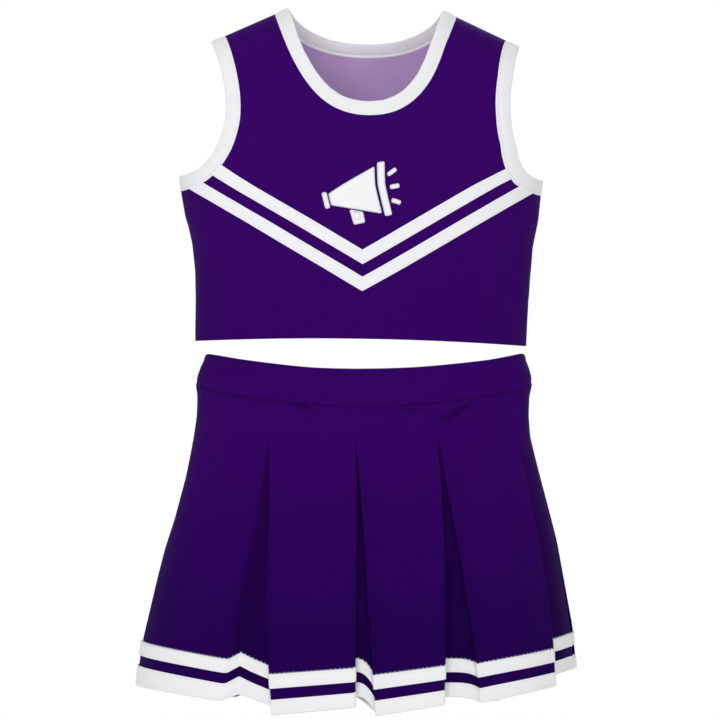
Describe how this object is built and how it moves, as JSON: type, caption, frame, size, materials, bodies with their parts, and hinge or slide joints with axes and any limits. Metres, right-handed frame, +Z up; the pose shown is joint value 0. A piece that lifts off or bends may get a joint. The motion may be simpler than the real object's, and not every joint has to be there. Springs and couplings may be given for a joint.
{
  "type": "cheer uniform",
  "caption": "Cheer uniform set: sleeveless cropped shell top with bound edges and chevron braid, and an elastic-waist pleated skirt with striped hem braid.",
  "frame": {"origin": "floor level under the middle of the bounding box; the floor is the lowest point of the skirt hem", "axes": "+Z up, front of the uniform faces -Y, +X towards the viewer's right"},
  "size_m": [0.3974, 0.2486, 0.6339],
  "materials": {
    "purple_cloth": "smooth purple knit, slight sheen",
    "pleat_cloth": "smooth purple knit, pressed into pleats",
    "inner_cloth": "inside of the purple knit, turned in at hems and seams",
    "white_binding": "white knit binding, topstitched",
    "white_braid": "white woven braid, matt",
    "white_applique": "smooth white applique",
    "elastic": "white woven elastic"
  },
  "bodies": {
    "skirt": {"waistband_casing": "purple_cloth", "waistband_elastic": "elastic", "skirt_yoke_front": "purple_cloth", "skirt_yoke_back": "purple_cloth"},
    "top": {"top_front_panel": "purple_cloth", "top_back_panel": "purple_cloth", "neck_binding": "white_binding", "armhole_binding_left": "white_binding", "armhole_binding_right": "white_binding", "chevron_braid_upper": "white_braid", "chevron_braid_lower": "white_braid", "chest_emblem": "white_applique", "top_hem_facing": "inner_cloth", "side_seam_left": "inner_cloth", "side_seam_right": "inner_cloth", "shoulder_seam_left": "inner_cloth", "shoulder_seam_right": "inner_cloth"},
    "pleat_front_1_body": {"pleat_front_1": "pleat_cloth", "hem_braid_upper_front_1": "white_braid", "hem_braid_lower_front_1": "white_braid"},
    "pleat_front_2_body": {"pleat_front_2": "pleat_cloth", "hem_braid_upper_front_2": "white_braid", "hem_braid_lower_front_2": "white_braid"},
    "pleat_front_3_body": {"pleat_front_3": "pleat_cloth", "hem_braid_upper_front_3": "white_braid", "hem_braid_lower_front_3": "white_braid"},
    "pleat_front_4_body": {"pleat_front_4": "pleat_cloth", "hem_braid_upper_front_4": "white_braid", "hem_braid_lower_front_4": "white_braid"},
    "pleat_front_5_body": {"pleat_front_5": "pleat_cloth", "hem_braid_upper_front_5": "white_braid", "hem_braid_lower_front_5": "white_braid"},
    "pleat_back_1_body": {"pleat_back_1": "pleat_cloth", "hem_braid_upper_back_1": "white_braid", "hem_braid_lower_back_1": "white_braid"},
    "pleat_back_2_body": {"pleat_back_2": "pleat_cloth", "hem_braid_upper_back_2": "white_braid", "hem_braid_lower_back_2": "white_braid"},
    "pleat_back_3_body": {"pleat_back_3": "pleat_cloth", "hem_braid_upper_back_3": "white_braid", "hem_braid_lower_back_3": "white_braid"},
    "pleat_back_4_body": {"pleat_back_4": "pleat_cloth", "hem_braid_upper_back_4": "white_braid", "hem_braid_lower_back_4": "white_braid"},
    "pleat_back_5_body": {"pleat_back_5": "pleat_cloth", "hem_braid_upper_back_5": "white_braid", "hem_braid_lower_back_5": "white_braid"}
  },
  "joints": [
    {"name": "top_lift", "type": "slide", "parent": "skirt", "child": "top", "axis": [0, 0, 1], "range_m": [0, 0.25]},
    {"name": "flare_front_1", "type": "hinge", "parent": "skirt", "child": "pleat_front_1_body", "pos_m": [-0.12779, -0.03395, 0.24902], "axis": [-0.7458, 0.6662, 0], "range_deg": [0, 12]},
    {"name": "flare_front_2", "type": "hinge", "parent": "skirt", "child": "pleat_front_2_body", "pos_m": [-0.04123, -0.0685, 0.24286], "axis": [-0.9882, 0.153, 0], "range_deg": [0, 12]},
    {"name": "flare_front_3", "type": "hinge", "parent": "skirt", "child": "pleat_front_3_body", "pos_m": [0.03814, -0.07033, 0.24242], "axis": [-0.9945, -0.1047, 0], "range_deg": [0, 12]},
    {"name": "flare_front_4", "type": "hinge", "parent": "skirt", "child": "pleat_front_4_body", "pos_m": [0.1172, -0.04853, 0.24693], "axis": [-0.8862, -0.4634, 0], "range_deg": [0, 12]},
    {"name": "flare_front_5", "type": "hinge", "parent": "skirt", "child": "pleat_front_5_body", "pos_m": [0.15388, -0.01359, 0.25068], "axis": [-0.3727, -0.928, 0], "range_deg": [0, 12]},
    {"name": "flare_back_1", "type": "hinge", "parent": "skirt", "child": "pleat_back_1_body", "pos_m": [0.13879, 0.03395, 0.24902], "axis": [0.7458, -0.6662, 0], "range_deg": [0, 12]},
    {"name": "flare_back_2", "type": "hinge", "parent": "skirt", "child": "pleat_back_2_body", "pos_m": [0.05223, 0.0685, 0.24286], "axis": [0.9882, -0.153, 0], "range_deg": [0, 12]},
    {"name": "flare_back_3", "type": "hinge", "parent": "skirt", "child": "pleat_back_3_body", "pos_m": [-0.02714, 0.07033, 0.24242], "axis": [0.9945, 0.1047, 0], "range_deg": [0, 12]},
    {"name": "flare_back_4", "type": "hinge", "parent": "skirt", "child": "pleat_back_4_body", "pos_m": [-0.1062, 0.04853, 0.24693], "axis": [0.8862, 0.4634, 0], "range_deg": [0, 12]},
    {"name": "flare_back_5", "type": "hinge", "parent": "skirt", "child": "pleat_back_5_body", "pos_m": [-0.14288, 0.01359, 0.25068], "axis": [0.3727, 0.928, 0], "range_deg": [0, 12]}
  ],
  "couplings": [
    {"joint": "flare_front_2", "follows": "flare_front_1", "ratio": 1},
    {"joint": "flare_front_3", "follows": "flare_front_1", "ratio": 1},
    {"joint": "flare_front_4", "follows": "flare_front_1", "ratio": 1},
    {"joint": "flare_front_5", "follows": "flare_front_1", "ratio": 1},
    {"joint": "flare_back_1", "follows": "flare_front_1", "ratio": 1},
    {"joint": "flare_back_2", "follows": "flare_front_1", "ratio": 1},
    {"joint": "flare_back_3", "follows": "flare_front_1", "ratio": 1},
    {"joint": "flare_back_4", "follows": "flare_front_1", "ratio": 1},
    {"joint": "flare_back_5", "follows": "flare_front_1", "ratio": 1}
  ]
}
